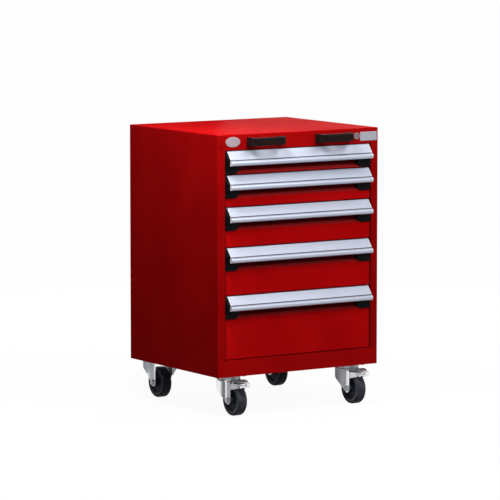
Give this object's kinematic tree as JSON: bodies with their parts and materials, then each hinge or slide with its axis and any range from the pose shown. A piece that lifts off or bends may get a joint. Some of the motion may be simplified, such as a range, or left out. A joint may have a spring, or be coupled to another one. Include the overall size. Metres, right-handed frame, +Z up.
{
  "type": "mobile drawer cabinet",
  "caption": "Mobile steel workshop cabinet with stacked full-width drawers on roller slides, aluminium handle strips, pull handles, central lock, braked swivel casters and rigid casters.",
  "frame": {"origin": "on the floor, under the middle of the cabinet's outer box", "axes": "+X to the right seen from the front, +Y to the back, +Z up"},
  "size_m": [0.6096, 0.5994, 0.892],
  "materials": {
    "red_paint": "red powder coat, semi-gloss",
    "tray_paint": "light grey powder coat",
    "aluminium": "clear anodised, satin",
    "black_plastic": "black, fine texture",
    "zinc": "bright zinc plated",
    "lock_chrome": "plated",
    "wheel_plastic": "dark grey nylon",
    "tyre_rubber": "black elastic rubber"
  },
  "bodies": {
    "housing": {"left_side_panel": "red_paint", "right_side_panel": "red_paint", "back_panel": "red_paint", "top_panel": "red_paint", "base_pan": "red_paint", "slide_uprights": "zinc", "cabinet_rails": "zinc", "left_pull_handle": "black_plastic", "right_pull_handle": "black_plastic", "pull_handle_screws": "zinc", "lock_cylinder": "lock_chrome", "front_caster_plates": "zinc", "king_pins": "zinc", "caster_bolts": "zinc", "rear_left_fork": "zinc", "rear_right_fork": "zinc", "rear_axles": "zinc"},
    "lock_plug": {"lock_plug": "lock_chrome", "lock_cam": "zinc"},
    "lock_bar": {"lock_bar": "zinc"},
    "drawer_1": {"drawer_1_tray": "tray_paint", "drawer_1_front": "red_paint", "drawer_1_handle": "aluminium", "drawer_1_end_caps": "black_plastic"},
    "drawer_1_carriages": {"drawer_1_carriages": "zinc"},
    "drawer_2": {"drawer_2_tray": "tray_paint", "drawer_2_front": "red_paint", "drawer_2_handle": "aluminium", "drawer_2_end_caps": "black_plastic"},
    "drawer_2_carriages": {"drawer_2_carriages": "zinc"},
    "drawer_3": {"drawer_3_tray": "tray_paint", "drawer_3_front": "red_paint", "drawer_3_handle": "aluminium", "drawer_3_end_caps": "black_plastic"},
    "drawer_3_carriages": {"drawer_3_carriages": "zinc"},
    "drawer_4": {"drawer_4_tray": "tray_paint", "drawer_4_front": "red_paint", "drawer_4_handle": "aluminium", "drawer_4_end_caps": "black_plastic"},
    "drawer_4_carriages": {"drawer_4_carriages": "zinc"},
    "drawer_5": {"drawer_5_tray": "tray_paint", "drawer_5_front": "red_paint", "drawer_5_handle": "aluminium", "drawer_5_end_caps": "black_plastic"},
    "drawer_5_carriages": {"drawer_5_carriages": "zinc"},
    "front_left_swivel": {"front_left_fork": "zinc", "front_left_axle": "zinc"},
    "front_left_wheel": {"front_left_hub": "wheel_plastic", "front_left_tyre": "tyre_rubber"},
    "front_left_pedal": {"front_left_brake_pedal": "zinc"},
    "rear_left_wheel": {"rear_left_hub": "wheel_plastic", "rear_left_tyre": "tyre_rubber"},
    "front_right_swivel": {"front_right_fork": "zinc", "front_right_axle": "zinc"},
    "front_right_wheel": {"front_right_hub": "wheel_plastic", "front_right_tyre": "tyre_rubber"},
    "front_right_pedal": {"front_right_brake_pedal": "zinc"},
    "rear_right_wheel": {"rear_right_hub": "wheel_plastic", "rear_right_tyre": "tyre_rubber"}
  },
  "joints": [
    {"name": "lock_turn", "type": "hinge", "parent": "housing", "child": "lock_plug", "pos_m": [0.2208, -0.2337, 0.86735], "axis": [0, -1, 0], "range_deg": [0, 90]},
    {"name": "lock_bar_lift", "type": "slide", "parent": "housing", "child": "lock_bar", "axis": [0, 0, 1], "range_m": [0, 0.01414]},
    {"name": "drawer_1_slide", "type": "slide", "parent": "housing", "child": "drawer_1", "axis": [0, -1, 0], "range_m": [0, 0.45]},
    {"name": "drawer_1_carriage_slide", "type": "slide", "parent": "housing", "child": "drawer_1_carriages", "axis": [0, -1, 0], "range_m": [0, 0.225]},
    {"name": "drawer_2_slide", "type": "slide", "parent": "housing", "child": "drawer_2", "axis": [0, -1, 0], "range_m": [0, 0.45]},
    {"name": "drawer_2_carriage_slide", "type": "slide", "parent": "housing", "child": "drawer_2_carriages", "axis": [0, -1, 0], "range_m": [0, 0.225]},
    {"name": "drawer_3_slide", "type": "slide", "parent": "housing", "child": "drawer_3", "axis": [0, -1, 0], "range_m": [0, 0.45]},
    {"name": "drawer_3_carriage_slide", "type": "slide", "parent": "housing", "child": "drawer_3_carriages", "axis": [0, -1, 0], "range_m": [0, 0.225]},
    {"name": "drawer_4_slide", "type": "slide", "parent": "housing", "child": "drawer_4", "axis": [0, -1, 0], "range_m": [0, 0.45]},
    {"name": "drawer_4_carriage_slide", "type": "slide", "parent": "housing", "child": "drawer_4_carriages", "axis": [0, -1, 0], "range_m": [0, 0.225]},
    {"name": "drawer_5_slide", "type": "slide", "parent": "housing", "child": "drawer_5", "axis": [0, -1, 0], "range_m": [0, 0.45]},
    {"name": "drawer_5_carriage_slide", "type": "slide", "parent": "housing", "child": "drawer_5_carriages", "axis": [0, -1, 0], "range_m": [0, 0.225]},
    {"name": "front_left_swivel_turn", "type": "hinge", "parent": "housing", "child": "front_left_swivel", "pos_m": [-0.2275, -0.1757, 0], "axis": [0, 0, 1], "continuous": true},
    {"name": "front_left_wheel_spin", "type": "hinge", "parent": "front_left_swivel", "child": "front_left_wheel", "pos_m": [-0.2275, -0.2117, 0.05], "axis": [1, 0, 0], "continuous": true},
    {"name": "front_left_pedal_press", "type": "hinge", "parent": "front_left_swivel", "child": "front_left_pedal", "pos_m": [-0.2275, -0.2477, 0.1055], "axis": [1, 0, 0], "range_deg": [0, 14]},
    {"name": "rear_left_wheel_spin", "type": "hinge", "parent": "housing", "child": "rear_left_wheel", "pos_m": [-0.2275, 0.2417, 0.05], "axis": [1, 0, 0], "continuous": true},
    {"name": "front_right_swivel_turn", "type": "hinge", "parent": "housing", "child": "front_right_swivel", "pos_m": [0.2275, -0.1757, 0], "axis": [0, 0, 1], "continuous": true},
    {"name": "front_right_wheel_spin", "type": "hinge", "parent": "front_right_swivel", "child": "front_right_wheel", "pos_m": [0.2275, -0.2117, 0.05], "axis": [1, 0, 0], "continuous": true},
    {"name": "front_right_pedal_press", "type": "hinge", "parent": "front_right_swivel", "child": "front_right_pedal", "pos_m": [0.2275, -0.2477, 0.1055], "axis": [1, 0, 0], "range_deg": [0, 14]},
    {"name": "rear_right_wheel_spin", "type": "hinge", "parent": "housing", "child": "rear_right_wheel", "pos_m": [0.2275, 0.2417, 0.05], "axis": [1, 0, 0], "continuous": true}
  ],
  "couplings": [
    {"joint": "lock_turn", "follows": "lock_bar_lift", "rad_per_m": 111.07},
    {"joint": "drawer_1_carriage_slide", "follows": "drawer_1_slide", "ratio": 0.5},
    {"joint": "drawer_2_carriage_slide", "follows": "drawer_2_slide", "ratio": 0.5},
    {"joint": "drawer_3_carriage_slide", "follows": "drawer_3_slide", "ratio": 0.5},
    {"joint": "drawer_4_carriage_slide", "follows": "drawer_4_slide", "ratio": 0.5},
    {"joint": "drawer_5_carriage_slide", "follows": "drawer_5_slide", "ratio": 0.5}
  ]
}
